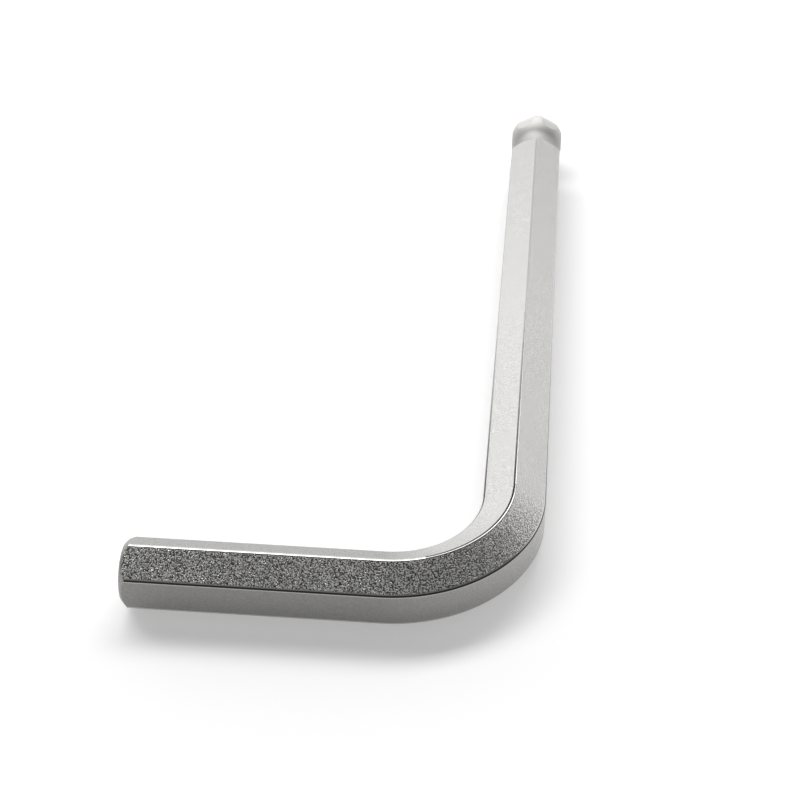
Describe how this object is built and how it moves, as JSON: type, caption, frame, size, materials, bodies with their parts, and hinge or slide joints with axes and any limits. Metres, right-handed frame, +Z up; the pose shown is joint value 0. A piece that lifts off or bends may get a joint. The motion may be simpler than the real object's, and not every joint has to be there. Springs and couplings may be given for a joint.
{
  "type": "hex key",
  "caption": "L-shaped hex key of satin plated steel: a short arm with a chamfered hexagonal end, a round bend, and a long arm with a ball end on a turned neck.",
  "frame": {"origin": "middle of the key's box in plan, on the plane that the lower edges of both arms lie on", "axes": "+Y along the long arm towards its ball, -X along the short arm towards its end face, +Z up from the plane that the key lies on"},
  "size_m": [0.0321, 0.074, 0.0057],
  "materials": {
    "satin_steel": "satin plated tool steel with a fine blasted grain"
  },
  "bodies": {
    "root": {"hex_key": "satin_steel"}
  },
  "joints": []
}
